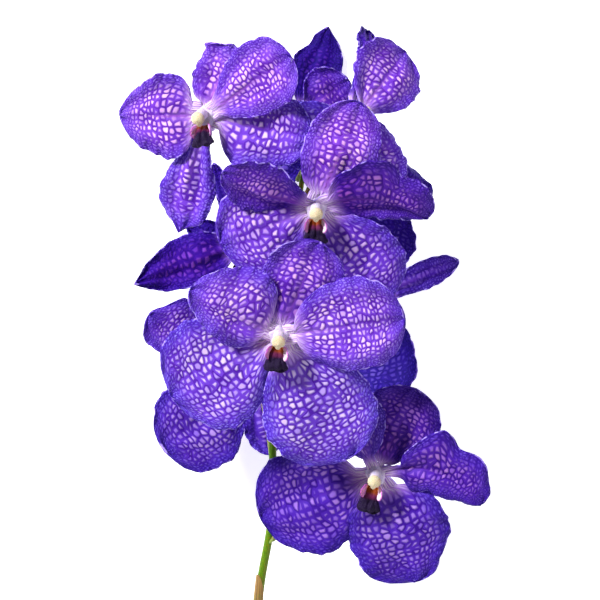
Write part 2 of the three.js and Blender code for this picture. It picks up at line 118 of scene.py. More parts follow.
sky = bpy.data.worlds.new("pale_sky")
sky.use_nodes = True
sky_nodes, sky_links = sky.node_tree.nodes, sky.node_tree.links
sky_light = sky_nodes["Background"]
sky_light.inputs["Color"].default_value = (1, 1, 1, 1)
sky_way = sky_nodes.new("ShaderNodeTexCoord").outputs["Generated"]
sky_parts = sky_nodes.new("ShaderNodeSeparateXYZ")
sky_fade = sky_nodes.new("ShaderNodeMapRange")
for socket, value in {"From Max": SKY_TURN, "To Min": SKY_LOW, "To Max": SKY_HIGH}.items():
    sky_fade.inputs[socket].default_value = value
sky_links.new(sky_way, sky_parts.inputs[0])
sky_links.new(sky_parts.outputs["Z"], sky_fade.inputs["Value"])
sky_links.new(sky_fade.outputs[0], sky_light.inputs["Strength"])
bpy.context.scene.world = sky
bpy.context.scene.view_settings.view_transform = "Standard"
print("lamps:", list(LAMPS))

# %% [markdown]
# ## Small tools for finishes
# Every finish is a shader built from nodes. A helper starts one with its main shader, adds nodes
# and plugs values, colours or other nodes into them. Colours are written as on screen.

# %% Helpers for finishes
def colour(text):
    """A colour such as "5a35c8" as the light values that a shader works with."""
    parts = [int(text[i : i + 2], 16) / 255 for i in (0, 2, 4)]
    light = [p / 12.92 if p <= 0.04045 else ((p + 0.055) / 1.055) ** 2.4 for p in parts]
    return (*light, 1)


class Finish:
    """A material with its main shader, and short ways to add nodes to it."""

    def __init__(self, name, roughness, **constants):
        self.material = bpy.data.materials.new(name)
        self.material.use_nodes = True
        self.tree = self.material.node_tree
        self.shader = self.tree.nodes["Principled BSDF"]
        for socket, value in dict(constants, Roughness=roughness).items():
            self.shader.inputs[socket.replace("_", " ")].default_value = value

    def plug(self, socket, source):
        """source is another node's output, a value or the text of a colour."""
        if isinstance(source, bpy.types.NodeSocket):
            self.tree.links.new(source, socket)
        else:
            socket.default_value = colour(source) if isinstance(source, str) else source

    def node(self, kind, plugs=(), **settings):
        made = self.tree.nodes.new("ShaderNode" + kind)
        for setting, value in settings.items():
            setattr(made, setting, value)
        for place, source in dict(plugs).items():
            self.plug(made.inputs[place], source)
        return made

    def noise(self, scale, detail, **where):
        return self.node("TexNoise", dict(where, Scale=scale, Detail=detail)).outputs[0]

    def math(self, what, a, b=0.0):
        return self.node("Math", {0: a, 1: b}, operation=what).outputs[0]

    def times(self, a, b):
        return self.math("MULTIPLY", a, b)

    def off(self, value, place):
        """How far a value is from a place."""
        return self.math("ABSOLUTE", self.math("SUBTRACT", value, place))

    def between(self, value, low, high, start=0.0, end=1.0):
        """A soft step from start to end as value runs from low to high."""
        plugs = {"Value": value, "From Min": low, "From Max": high, "To Min": start, "To Max": end}
        return self.node("MapRange", plugs, interpolation_type="SMOOTHSTEP").outputs[0]

    def mix(self, share, first, second, blend="MIX"):
        made = self.node("Mix", data_type="RGBA", blend_type=blend)
        for place, source in ((0, share), (6, first), (7, second)):
            self.plug(made.inputs[place], source)
        return made.outputs[2]

    def paint(self, source):
        self.plug(self.shader.inputs["Base Color"], source)

    def relief(self, height, depth_mm, strength):
        plugs = {"Height": height, "Distance": depth_mm * MM, "Strength": strength}
        self.plug(self.shader.inputs["Normal"], self.node("Bump", plugs).outputs[0])


print("a violet as light:", [round(v, 3) for v in colour("5a35c8")])

# %% [markdown]
# ## The table
# The table isn't part of the plant. It is a plain pale sheet whose edge is never seen. It glows a
# little, so the shadows of the blooms stay faint, and has a hint of paper grain.

# %% Table
FLOOR_HALF = 3.0
TABLE_GLOW = 0.68
floor_mesh = bpy.data.meshes.new("table")
floor_corners = [(-1, -1), (1, -1), (1, 1), (-1, 1)]
floor_points = [(x * FLOOR_HALF, y * FLOOR_HALF, 0) for x, y in floor_corners]
floor_mesh.from_pydata(floor_points, [], [(0, 1, 2, 3)])
floor = bpy.data.objects.new("table", floor_mesh)
bpy.context.scene.collection.objects.link(floor)
floor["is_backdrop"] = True

paper = Finish("pale_paper", 0.9, Emission_Strength=TABLE_GLOW)
paper_white = paper.mix(paper.noise(180, 4), "fbfafc", "ffffff")
paper.paint(paper_white)
paper.plug(paper.shader.inputs["Emission Color"], paper_white)
floor_mesh.materials.append(paper.material)
print("table:", 2 * FLOOR_HALF, "m wide")

# %% [markdown]
# ## How a tepal is shaped
# A tepal is a thin blade on a narrow claw. A few measures describe it: how long and wide it is,
# how it lifts and curls back, how it rolls about its midrib and how its margins ruffle. The
# solids use the same formula, so the fine blades lie where the coarse ones do.

# %% Measures of a plain blade
# Besides its form, a blade has a tint, a darkness that is painted shade, more painted shade at its root,
# a flag for a netted back, and how close its veins lie.
PLAIN_BLADE = dict(
    angle=0, length=40, width=32, claw=0.12, claw_width=6, widest=0.56, shoulder=0.8, round=2.2,
    lift=8, curl=-16, bend=0, roll=0, twist=0, cup=6, wave=1.5, waves=1.5, phase=0, lean=0,
    point=0, seat=0, root=1.2, offset=(0, 0, 0), notches=(), folds=(), thickness=0.8, keel=0,
    tint=0, painted_shade=0, shade=0, bright_back=False, closer=1,
)
DORSAL = dict(PLAIN_BLADE, seat=-0.7, closer=1.15)
PETAL = dict(
    PLAIN_BLADE, angle=72, length=43, width=33, claw_width=8, seat=0.2, lift=14, tint=0.15, closer=1.25
)
SEPAL = dict(
    PLAIN_BLADE, angle=144, length=49, width=40, claw_width=8, seat=-0.9, lift=2, curl=-10, tint=0.45
)
print("a plain sepal is", SEPAL["length"], "mm long and", SEPAL["width"], "mm wide")

# %% [markdown]
# ## The nine blooms
# Four blooms look up at the camera, one looks up to the right, and four look down and show their
# dull backs. A left tepal is measured as the mirror image of a right one. A notch is a side, a
# share of the length, a depth and a reach, and a depth below zero makes it a lobe. A fold is a
# place across the blade, a reach and a depth. The tint says how blue a bloom or tepal is, and
# closer how close its veins lie. Its darkness number is painted shade, for blooms and tepals that
# lie in the shadow of others, and shade is more painted shade on the root. Lobes and broad claws
# on nine tepals in front close wedges that the real ones don't show.

# %% Measures of the blooms
# The darkness numbers below, of whole blooms and of single tepals, are painted shade where they lie
# under others.
BLOOMS = {}
BLOOMS["a"] = dict(
    centre=(-38, 73.8, 72), face=(-0.35, -0.15, 0.92), lip=172, stalk=0.79, tint=0, painted_shade=0.08,
    dorsal=dict(
        angle=25, length=29, width=23, claw_width=9, shoulder=0.4, lean=0.1, round=4.5, point=1,
        notches=((-1, 0.9, -2.5, 0.07),), shade=0.3,
    ),
    left_petal=dict(
        angle=88, length=35, width=32, widest=0.42, shoulder=0.42, round=1.25, claw_width=12, shade=0.5,
    ),
    right_petal=dict(
        angle=60, length=45, width=29, widest=0.66, shoulder=0.9, round=3,
        folds=((-0.3, 0.3, 1.2), (0.4, 0.2, -1)),
    ),
    left_sepal=dict(
        angle=161, length=46, width=23, widest=0.72, shoulder=1.1, point=3,
        folds=((0.4, 0.25, -1.2), (-0.2, 0.25, 1)),
    ),
    right_sepal=dict(angle=103, length=43.5, width=30, shoulder=0.55, notches=((1, 0.3, -4, 0.16),)),
    middle_lobe=dict(lift=74, curl=-64),
)
BLOOMS["b"] = dict(
    centre=(6.4, 36.2, 82), face=(0, -0.25, 1), lip=182, stalk=0.7, tint=0.05, painted_shade=0,
    dorsal=dict(
        angle=22, length=45, width=29, claw_width=10, shoulder=0.6,
        folds=((-0.75, 0.25, -1.4), (0.1, 0.3, 0.8)), shade=0.6,
    ),
    left_petal=dict(
        angle=66, length=40, width=27, roll=-35, lift=20, claw_width=6,
        folds=((0, 0.22, 1.4), (0.55, 0.25, -1.4), (-0.6, 0.2, -0.8)), painted_shade=0.65, shade=0.4,
    ),
    right_petal=dict(
        angle=62, bend=70, length=47, width=27, lean=-0.3, widest=0.4, round=1.5, roll=-25, curl=-30,
        notches=((1, 0.3, -3.5, 0.15), (-1, 0.66, 4, 0.08)),
        folds=((-0.15, 0.22, 1.6), (0.45, 0.25, -1.8)), painted_shade=0.75, shade=0.4,
    ),
    left_sepal=dict(angle=112, length=40, width=38, folds=((-0.4, 0.25, -1), (0.2, 0.25, 0.8))),
    right_sepal=dict(angle=143, length=47, width=36, claw_width=11, painted_shade=0.3),
)
BLOOMS["c"] = dict(
    centre=(-8.4, -14.2, 88), face=(0, -0.25, 1), lip=187, stalk=0.57, tint=0.3, painted_shade=0,
    dorsal=dict(
        angle=23, length=40, width=32, claw_width=10.5, shoulder=0.65,
        folds=((0.8, 0.3, -1.4), (-0.7, 0.3, -1.2)), painted_shade=0.35, shade=0.8,
    ),
    left_petal=dict(
        angle=61, length=39, width=31, lean=-0.25, widest=0.36, shoulder=0.5, round=1.8,
        folds=((-0.35, 0.3, 1.4), (-1, 0.35, -2.4), (0.4, 0.25, -0.8)), shade=0.2,
    ),
    right_petal=dict(
        angle=80, length=49.5, width=37, shoulder=0.6, lean=-0.05, round=2.6,
        folds=((0.05, 0.2, -1), (0.6, 0.3, 1.2)),
    ),
    left_sepal=dict(angle=121, length=49, width=47, folds=((0.5, 0.2, 1), (-0.5, 0.3, -0.9))),
    right_sepal=dict(
        angle=153, length=58, width=45, claw_width=11, folds=((-0.1, 0.2, -0.9), (0.6, 0.3, 0.9)),
    ),
)
BLOOMS["d"] = dict(
    centre=(30.8, -71, 58), face=(-0.1, -0.25, 1), lip=194, stalk=0.42, tint=0.4, painted_shade=0.5,
    dorsal=dict(
        angle=25, length=38.5, width=33, claw_width=3, shoulder=0.6, notches=((1, 0.32, 4, 0.12),),
        painted_shade=0.8, shade=0.3,
    ),
    left_petal=dict(angle=20, length=38, width=26, claw=0.2, claw_width=5),
    right_petal=dict(
        angle=66, bend=80, length=47, width=25, claw=0.22, claw_width=4, widest=0.45, shoulder=0.6,
        lean=-0.3, roll=-12,
        notches=((1, 0.3, -5, 0.13), (-1, 0.48, -3, 0.09), (-1, 0.62, 3, 0.06), (-1, 0.9, 3, 0.05)),
        folds=((0, 0.15, -1.4), (0.5, 0.25, 1.2)), painted_shade=0.8,
    ),
    left_sepal=dict(
        angle=112, length=51, width=43, notches=((-1, 0.26, -4, 0.14), (1, 0.42, -3, 0.2)),
        folds=((0.3, 0.25, 1.2), (-0.3, 0.25, -1.2)), painted_shade=0.8,
    ),
    right_sepal=dict(
        angle=162, length=48, width=42, lean=-0.08, shoulder=0.6,
        notches=((-1, 0.2, -4, 0.13), (-1, 0.85, 6, 0.2), (1, 0.3, -3, 0.2)),
        folds=((0.2, 0.25, -1), (-0.5, 0.25, 1)), painted_shade=0.7,
    ),
    middle_lobe=dict(length=13, lift=34, curl=-52),
)
BLOOMS["e"] = dict(
    centre=(-23, 25, 14), face=(-0.25, -0.2, -0.95), lip=180, stalk=0.67, tint=0.1, painted_shade=0.6,
    dorsal=dict(angle=20, length=34, width=8, roll=35),
    left_petal=dict(length=32, width=26, lift=30),
    right_petal=dict(angle=76, length=24, width=10),
    left_sepal=dict(angle=150, length=32, width=28, lift=20),
    right_sepal=dict(
        angle=112, length=49, width=22, widest=0.46, round=1.3, point=3, lean=-0.05,
        folds=((0.5, 0.3, 0.8), (-0.4, 0.3, -0.6)), painted_shade=1, bright_back=True,
    ),
)
BLOOMS["f"] = dict(
    centre=(-20, -35, 15), face=(-0.25, -0.2, -0.95), lip=180, stalk=0.52, tint=0.3, painted_shade=0.6,
    dorsal=dict(length=32, width=26, lift=14),
    left_petal=dict(length=34, width=26, lift=30, bright_back=True),
    right_petal=dict(
        angle=54, length=51, width=27, widest=0.7, round=5, lean=-0.22, notches=((-1, 0.97, 9, 0.1),),
        painted_shade=0.3, bright_back=True,
    ),
    left_sepal=dict(angle=170, length=30, width=16, bright_back=True),
    right_sepal=dict(
        angle=126, length=48, width=39, folds=((0, 0.15, 1.4), (0.5, 0.25, -1)), bright_back=True,
    ),
)
BLOOMS["g"] = dict(
    centre=(23, 75, 52), face=(0.45, 0.15, 0.88), lip=222, stalk=0.87, tint=0.25, painted_shade=0.1,
    dorsal=dict(
        angle=43, length=37, width=31, round=2.6, lean=-0.05,
        folds=((0.3, 0.25, 1.2), (-0.4, 0.25, -1.2)),
    ),
    left_petal=dict(
        angle=-24, length=46, width=10, widest=0.85, round=6, twist=20, lift=-12, seat=-1.2, painted_shade=1,
    ),
    right_petal=dict(angle=138, bend=26, length=31, width=15),
    left_sepal=dict(angle=110, length=34, width=28, lift=-20),
    right_sepal=dict(
        angle=137, length=48, width=21, claw=0.3, widest=0.8, shoulder=1.4, round=2.6, lean=0.35, lift=0,
        painted_shade=1,
    ),
)
BLOOMS["h"] = dict(
    centre=(1, 77, 12), face=(-0.1, 0.1, -1), lip=180, stalk=0.94, tint=0, painted_shade=0.6,
    dorsal=dict(
        angle=-18, length=39, width=21, lift=34, curl=-20, point=3, notches=((1, 0.85, 4, 0.12),),
        painted_shade=0.95,
    ),
    left_petal=dict(angle=50, length=24, width=24, painted_shade=0.7, bright_back=True),
    right_petal=dict(length=34, width=28, lift=30),
    left_sepal=dict(length=36, width=28, lift=20),
    right_sepal=dict(length=36, width=28, lift=20),
)
BLOOMS["i"] = dict(
    centre=(31, 2, 18), face=(0.45, -0.15, -0.88), lip=180, stalk=0.62, tint=0.4, painted_shade=0.25,
    dorsal=dict(angle=-10, length=36, width=26),
    left_petal=dict(angle=66, length=38, width=11, roll=30, painted_shade=0.7, bright_back=True),
    right_petal=dict(length=28, width=24, lift=26),
    left_sepal=dict(angle=168, length=46, width=32, painted_shade=0.6),
    right_sepal=dict(angle=122, length=30, width=26, lift=18, painted_shade=0.6),
)
print("blooms:", len(BLOOMS), "tepals:", 5 * len(BLOOMS))

# %% [markdown]
# ## Where a bloom sits
# A bloom has axes of its own: Z is the way that it looks and Y is up the spike. Whatever would go
# below the table is pressed flat on it, because the spike rests on its lower blooms.

# %% Place of a bloom, and the press of the table
PRESS_SOFTNESS = 3


def unit(vector):
    vector = np.array(vector, float)
    return vector / np.linalg.norm(vector)


def turned_by(angle, first, second):
    """Two directions at right angles, turned in their plane by an angle in degrees."""
    cos, sin = math.cos(math.radians(angle)), math.sin(math.radians(angle))
    return first * cos + second * sin, second * cos - first * sin


def place_of(bloom, of_lip=False):
    """The axes of a bloom as rows, or of its lip, and its centre."""
    face = unit(bloom["face"])
    right = unit(np.cross((0, 1, 0), face))
    up = np.cross(face, right)
    if of_lip:
        right, up = turned_by(180 - bloom["lip"], right, up)
    return np.array([right, up, face]), np.array(bloom["centre"], float)


def placed(points, place):
    axes, centre = place
    return points @ axes + centre


def pressed(points, rest):
    """Points with none lower than rest, bent softly just above it."""
    height = points[..., 2] - rest
    soft = rest + (height + PRESS_SOFTNESS) ** 2 / (4 * PRESS_SOFTNESS)
    low = np.where(height < PRESS_SOFTNESS, soft, height + rest)
    low = np.where(height < -PRESS_SOFTNESS, rest, low)
    return np.concatenate([points[..., :2], low[..., None]], axis=-1)


print("bloom c looks", place_of(BLOOMS["c"])[0][2].round(2))

# %% [markdown]
# ## The blade formula
# The midrib is walked in small steps, each a little more lifted, bent or rolled than the last,
# and the blade is spread to both sides of it. Its breadth grows like a quarter wave and closes in
# a round tip, and notches and lobes are taken from it or added to it.

# %% Midrib and breadth
MIDRIB_STEPS = 40


def midrib(blade):
    share = np.linspace(0, 1, MIDRIB_STEPS + 1)
    turn = np.radians(blade["angle"] + blade["bend"] * share)[:, None]
    rise = np.radians(blade["lift"] + blade["curl"] * share)[:, None]
    spin = np.radians(blade["roll"] + blade["twist"] * share)[:, None]
    x, y, z = np.eye(3)
    outward = np.sin(turn) * x + np.cos(turn) * y
    flat = np.cos(turn) * x - np.sin(turn) * y
    along = outward * np.cos(rise) + z * np.sin(rise)
    facing = z * np.cos(rise) - outward * np.sin(rise)
    across = flat * np.cos(spin) + facing * np.sin(spin)
    out = facing * np.cos(spin) - flat * np.sin(spin)
    start = outward[0] * blade["root"] + np.array(blade["offset"]) + z * blade["seat"]
    walked = np.cumsum(along[:-1], axis=0) * blade["length"] / MIDRIB_STEPS
    return np.concatenate([start[None], start + walked]), along, across, out


def side_of(u):
    return np.where(u < 0, -1, 1)


def half_breadth(blade, s, side):
    t = np.maximum(0, (s - blade["claw"]) / (1 - blade["claw"]))
    rise = np.sin((np.pi / 2) * np.minimum(1, t / blade["widest"])) ** blade["shoulder"]
    past = np.maximum(0, (t - blade["widest"]) / (1 - blade["widest"]))
    fall = np.sqrt(np.maximum(0, 1 - past ** blade["round"]))
    half = (blade["claw_width"] / 2) * (1 - t) ** 3
    half = half + (blade["width"] / 2) * rise * fall * (1 + blade["lean"] * side)
    for notch_side, at, depth, reach in blade["notches"]:
        dent = depth * np.exp(-(((s - at) / reach) ** 2)) * fall
        half = half - np.where(side == notch_side, dent, 0)
    return half


def mirrored(blade):
    """A left blade is the mirror image of a right one."""
    turned = {k: -blade[k] for k in ("angle", "bend", "roll", "twist", "lean")}
    x, y, z = blade["offset"]
    notches = tuple((-side, *rest) for side, *rest in blade["notches"])
    folds = tuple((-at, *rest) for at, *rest in blade["folds"])
    return dict(blade, **turned, offset=(-x, y, z), notches=notches, folds=folds)


print("half breadth of a sepal at its middle:", half_breadth(SEPAL, 0.6, 1).round(1), "mm")

# %% [markdown]
# ## What makes a blade look grown
# A groove runs along the midrib, low folds and billows run over the face, small pleats fan out of
# the claw, and the margin is ragged, ruffles and rolls back. Each is a wave or a bump of a few
# tenths of a millimetre to two. The blade's own draw shifts the waves, so that no two are alike.

# %% Fine relief of a blade
GROOVE_DEPTH, GROOVE_WIDTH = 0.6, 1.3
RUFFLES = ((0.5, 5, (6, 0.7, 1)), (0.5 / 3, 4, (15.6, -1, -5)))
BILLOW, BILLOW_GROWTH = 0.8, 3
BILLOW_WAVES = ((1.4, 0.5, 1), (-0.8, 0.9, 3))
PLEATS, PLEAT_DEPTH, PLEAT_FADE, PLEAT_SHIFT = 3.3, 0.12, 3, 9
ROLLED_BACK, ROLL_START = 0.9, 0.72
KEEL_PLACE, KEEL_WIDTH = 1.2, 0.5
MARGIN_WAVES = ((3, 0.018), (7, 0.015), (13, 0.007))
MARGIN_SHIFTS = (1.7, 0.3)
MARGIN_GROWTH, MARGIN_START = 3, 0.4


def wave_of(turns):
    return np.sin(2 * np.pi * turns)


def bump_at(value, middle, reach):
    return np.exp(-(((value - middle) / reach) ** 2))


def fine_relief(blade, s, u, half, draw):
    """What a real blade has beyond the solid's form, in mm out of its face."""
    swell = np.sin(np.pi * np.clip(s, 0, 1))
    relief = blade["keel"] * bump_at(np.abs(half * u), KEEL_PLACE, KEEL_WIDTH) * swell
    for at, reach, depth in blade["folds"]:
        relief = relief + depth * bump_at(u, at, reach) * swell
    relief = relief - GROOVE_DEPTH * bump_at(half * u, 0, GROOVE_WIDTH) * (1 - s)
    for height, steepness, (along, across, shift) in RUFFLES:
        wave = wave_of(along * s + across * u + shift * draw)
        relief = relief + height * np.abs(u) ** steepness * wave
    first, second = (wave_of(a * s + b * u + shift * draw) for a, b, shift in BILLOW_WAVES)
    relief = relief + BILLOW * first * second * np.minimum(1, BILLOW_GROWTH * s)
    pleats = np.cos(2 * np.pi * PLEATS * u + PLEAT_SHIFT * draw) * np.exp(-PLEAT_FADE * s)
    rolled = np.clip((np.maximum(np.abs(u), s) - ROLL_START) / (1 - ROLL_START), 0, 1) ** 2
    return relief + PLEAT_DEPTH * pleats * (1 - u**2) - ROLLED_BACK * rolled


def margin_waves(s, side, draw):
    """How much wider or narrower a blade is along its uneven margin, as a share."""
    by_draw, by_side = MARGIN_SHIFTS
    waves = sum(
        size * wave_of(count * (s + by_draw * draw) + by_side * side)
        for count, size in MARGIN_WAVES
    )
    return waves * np.clip(MARGIN_GROWTH * s - MARGIN_START, 0, 1)


print("waves along a margin:", [count for count, _ in MARGIN_WAVES])

# %% Surface of a blade
TIP_REACH = 5
RUFFLE_LEAD = 0.4
RAGGED_TIP, TIP_RAGS, TIP_SHIFT = 0.4, 2.5, 7


def blade_surface(blade, s, u, fine=0.0, draw=0.0):
    """Middle points of a blade in the bloom's axes. s is from root to tip, u from -1 to 1."""
    steps = np.linspace(0, 1, MIDRIB_STEPS + 1)
    point, along, across, out = (
        np.stack([np.interp(s, steps, part[:, k]) for k in range(3)], axis=-1)
        for part in midrib(blade)
    )
    side = side_of(u)
    half = half_breadth(blade, s, side) * (1 + fine * margin_waves(s, side, draw))
    slope = math.radians(blade["cup"])
    sideways = np.sin(slope * u) / slope
    raised = (1 - np.cos(slope * u)) / slope
    swing = blade["waves"] * s + blade["phase"] + np.where(u > 0, RUFFLE_LEAD, 0)
    swell = np.sqrt(np.sin(np.pi * np.clip(s, 0, 1)) + 1e-9)
    ruffle = blade["wave"] * np.abs(u) ** 3 * wave_of(swing) * swell
    tip = np.hypot((1 - s) * blade["length"], half * u) / TIP_REACH
    drawn = blade["point"] * np.maximum(0, 1 - tip) ** 2
    drawn = drawn + fine * RAGGED_TIP * wave_of(TIP_RAGS * u + TIP_SHIFT * draw) * s**12
    point = point + along * drawn[..., None] + across * (half * sideways)[..., None]
    relief = fine * fine_relief(blade, s, u, half, draw)
    return point + out * (half * raised + ruffle + relief)[..., None]


print("tip of a plain petal:", blade_surface(PETAL, np.array([1.0]), np.array([0.0])).round(1))

# %% [markdown]
# ## Counting veins
# Long veins fan out of the claw, and cross veins join them like the rungs of a ladder, far apart
# near the claw and close together further out. Counting both in steps of one cell turns the blade
# into a sheet of squares, and a cell pattern with steps of one then falls into place.

# %% Vein counts and margins
VEIN_PITCH = 2.8
VEIN_SPREAD = (0.8, 0.35)
CROSS_PITCHES = ((0.15, 4.8), (0.5, 2.6), (1.0, 1.5))
ARCH = 0.7
FURTHEST = 1.3
LEAST_HALF, HALF_TAKEN_AT = 0.35, 0.6


def vein_counts(blade, s, u):
    """Veins from the midrib and cross veins from the root, one for each cell."""
    inner, outer = VEIN_SPREAD
    veins = u * blade["width"] / 2 / VEIN_PITCH * (inner + outer * u**2)
    away = np.hypot(s * blade["length"], ARCH * half_breadth(blade, s, side_of(u)) * u)
    steps = np.linspace(0, FURTHEST, 200)
    pitch = np.interp(steps, *zip(*CROSS_PITCHES))
    total = np.cumsum(blade["length"] / pitch) * (steps[1] - steps[0])
    return veins, np.interp(np.clip(away / blade["length"], 0, FURTHEST), steps, total)


def margin_distance(blade, s, u):
    """Millimetres to the nearest margin or to the tip."""
    half = half_breadth(blade, s, side_of(u))
    least = LEAST_HALF * half_breadth(blade, np.array(HALF_TAKEN_AT), side_of(u))
    return np.minimum((1 - np.abs(u)) * np.maximum(half, least), (1 - s) * blade["length"])


count_veins, count_cross = vein_counts(SEPAL, np.array(1.0), np.array(1.0))
print("a sepal has about", round(2 * float(count_veins)), "by", round(float(count_cross)), "cells")

# %% [markdown]
# ## Gathering a piece
# A bloom's tepals, cup and spur are one piece. They are gathered as plain arrays and turned into
# one mesh at the end, which is fast and gives the same mesh every time. Each point carries four
# pairs of numbers for the finish: veins and cross veins counted from midrib and root, distances
# from the margin and the root, distances from the midrib, and the blade's own tint and its painted
# shade.

# %% A basket for points and faces
PAIRS = ("veins", "margins", "midrib", "tone")


class Basket:
    """Points, faces, finishes and the pairs of numbers that finishes read."""

    def __init__(self):
        self.points, self.faces, self.finishes = [], [], []
        self.pairs = {name: [] for name in PAIRS}
        self.count = 0

    def put(self, points, face_sets, **pairs):
        """face_sets holds (faces, finish number) pairs that count from this set's points."""
        points = points.reshape(-1, 3)
        for faces, finish in face_sets:
            self.faces.extend((np.asarray(faces) + self.count).tolist())
            self.finishes.extend([finish] * len(faces))
        self.points.append(points)
        for name in PAIRS:
            given = pairs.get(name, np.zeros(2))
            self.pairs[name].append(np.broadcast_to(given, (len(points), 2)))
        self.count += len(points)

    def piece(self, name, finishes, node):
        """One object out of everything in the basket, riding where the CAD node did."""
        points = np.concatenate(self.points) + SPIKE_SHIFT
        low, high = np.array(solid_low) / MM, np.array(solid_high) / MM
        spill = np.maximum(low - points, points - high).max()
        mesh = bpy.data.meshes.new(name)
        mesh.from_pydata((np.clip(points, low, high) * MM).tolist(), [], self.faces)
        for finish in finishes:
            mesh.materials.append(finish.material)
        mesh.polygons.foreach_set("material_index", self.finishes)
        mesh.polygons.foreach_set("use_smooth", [True] * len(self.faces))
        corner = np.zeros(len(mesh.loops), int)
        mesh.loops.foreach_get("vertex_index", corner)
        for pair_name, values in self.pairs.items():
            layer = mesh.uv_layers.new(name=pair_name)
            layer.data.foreach_set("uv", np.concatenate(values)[corner].ravel())
        mesh.validate()
        made = bpy.data.objects.new(name, mesh)
        bpy.context.scene.collection.objects.link(made)
        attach(made, "root")
        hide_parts(node)
        print(name, len(mesh.vertices), "points, past the solid's box by", round(float(spill), 2))


print("basket ready")

# %% [markdown]
# ## A sheet with two faces
# The front of a blade is netted, its back is dull, and its thin rim has a pale line painted on as a
# highlight.
# The sheet is a grid of points on the formula's surface, pushed out to both sides by half its
# thickness, which shrinks towards the margins.

# %% Sheets and blades
RIM_THICKNESS = 0.3
SHADE_REACH = 0.55
DRAW_STEPS = (90, 57)


def grid_of(rows, columns):
    """Shares of a blade's length, closer together at the round tip, and of its half breadth."""
    s = 1 - (1 - np.linspace(0, 1, rows + 1)) ** 1.7
    return np.meshgrid(s, np.linspace(-1, 1, columns + 1), indexing="ij")


def normals_of(grid):
    """Directions straight out of the front of a grid of points, rows by columns."""
    way = np.cross(np.gradient(grid, axis=1), np.gradient(grid, axis=0))
    way = way / np.maximum(np.linalg.norm(way, axis=-1, keepdims=True), 1e-12)
    way[-1] = way[-2][way.shape[1] // 2]
    return way


def sheet_faces(rows, columns):
    """Front, back and rim faces of a sheet whose back points follow its front points."""
    wide = columns + 1
    count = (rows + 1) * wide
    a = (np.arange(rows)[:, None] * wide + np.arange(columns)).ravel()
    front = np.stack([a, a + 1, a + 1 + wide, a + wide], axis=1)
    left, root = np.arange(rows) * wide, np.arange(columns)
    right = left + columns
    rim = np.concatenate([
        np.stack([left, left + wide, left + wide + count, left + count], axis=1),
        np.stack([right + count, right + wide + count, right + wide, right], axis=1),
        np.stack([root + count, root + 1 + count, root + 1, root], axis=1),
    ])
    return front, front[:, ::-1] + count, rim


def put_sheet(basket, middle, thickness, finishes, **pairs):
    """A thin sheet round a grid of middle points, which carry their pairs of numbers."""
    shift = normals_of(middle) * thickness / 2
    both = {
        name: np.concatenate([np.stack(given, axis=-1).reshape(-1, 2)] * 2)
        for name, given in pairs.items()
    }
    faces = sheet_faces(middle.shape[0] - 1, middle.shape[1] - 1)
    basket.put(np.stack([middle + shift, middle - shift]), zip(faces, finishes), **both)


def add_blade(basket, blade, place, finishes, size, draw, fine=1.0):
    s, u = grid_of(*size)
    middle = pressed(placed(blade_surface(blade, s, u, fine, draw), place), blade["thickness"] / 2)
    thin = blade["thickness"] * (1 - (1 - RIM_THICKNESS) * np.maximum(np.abs(u), s) ** 4)
    counts = zip(vein_counts(blade, s, u), DRAW_STEPS)
    # Painted shade: the blade's darkness, more of it towards the root, goes with its tint to the finish.
    shade = blade["shade"] * np.clip(1 - s / SHADE_REACH, 0, 1)
    put_sheet(
        basket, middle, thin[..., None], finishes,
        veins=[count * blade["closer"] + draw * step for count, step in counts],
        margins=(margin_distance(blade, s, u) / 10, s),
        midrib=(half_breadth(blade, s, side_of(u)) * u / 10, u),
        tone=(blade["tint"] + 0 * s, blade["painted_shade"] + shade),
    )


print("thickness of a blade's rim:", round(RIM_THICKNESS * PLAIN_BLADE["thickness"], 2), "mm")

# %% [markdown]
# ## The net of the tepals
# Each cell of the net has a pale spot, pinkish white in the middle of the blade and fading to
# violet towards the margin, where the net is finer. A cell pattern that gives the distance to the
# nearest wall draws this from the vein counts, and a little noise bends its walls.

# %% Cell pattern and the other pairs of numbers
WALL_BEND, BEND_SCALE = 0.9, 0.45
PATCH_SCALE = 0.25
SMALLER_IN_PATCHES = (0.4, 0.65, 0.0, 0.1)
SMALLER_BY_CHANCE = 0.09
FROM_WALL = (0.02, 0.29)
FROM_CORNER = (0.74, 0.28)


def cell_pattern(finish, scale, randomness):
    """How far inside its rounded cell a point is, and two numbers of its cell's own."""
    veins = finish.node("UVMap", uv_map="veins").outputs[0]
    plugs = {"Vector": veins, "Scale": BEND_SCALE, "Detail": 1}
    wobble = finish.node("TexNoise", plugs).outputs[1]
    for what, plugs in (
        ("SUBTRACT", {1: (0.5, 0.5, 0.5)}), ("SCALE", {"Scale": WALL_BEND}), ("ADD", {1: veins})
    ):
        wobble = finish.node("VectorMath", {0: wobble, **plugs}, operation=what).outputs[0]
    plugs = {"Vector": wobble, "Scale": scale, "Randomness": randomness}
    wall, cell = (
        finish.node("TexVoronoi", plugs, feature=feature, voronoi_dimensions="2D").outputs
        for feature in ("DISTANCE_TO_EDGE", "F1")
    )
    own, other = finish.node("SeparateColor", {0: cell["Color"]}).outputs[:2]
    patches = finish.between(finish.noise(PATCH_SCALE, 1, Vector=veins), *SMALLER_IN_PATCHES)
    smaller = finish.math("ADD", finish.times(other, SMALLER_BY_CHANCE), patches)
    inside = finish.between(finish.math("SUBTRACT", wall["Distance"], smaller), *FROM_WALL)
    return finish.times(inside, finish.between(cell["Distance"], *FROM_CORNER)), own, other


def pair(finish, name):
    """The two numbers that the points carry under a name."""
    place = finish.node("UVMap", uv_map=name).outputs[0]
    return finish.node("SeparateXYZ", {0: place}).outputs[:2]


print("pairs of numbers on each point:", PAIRS)
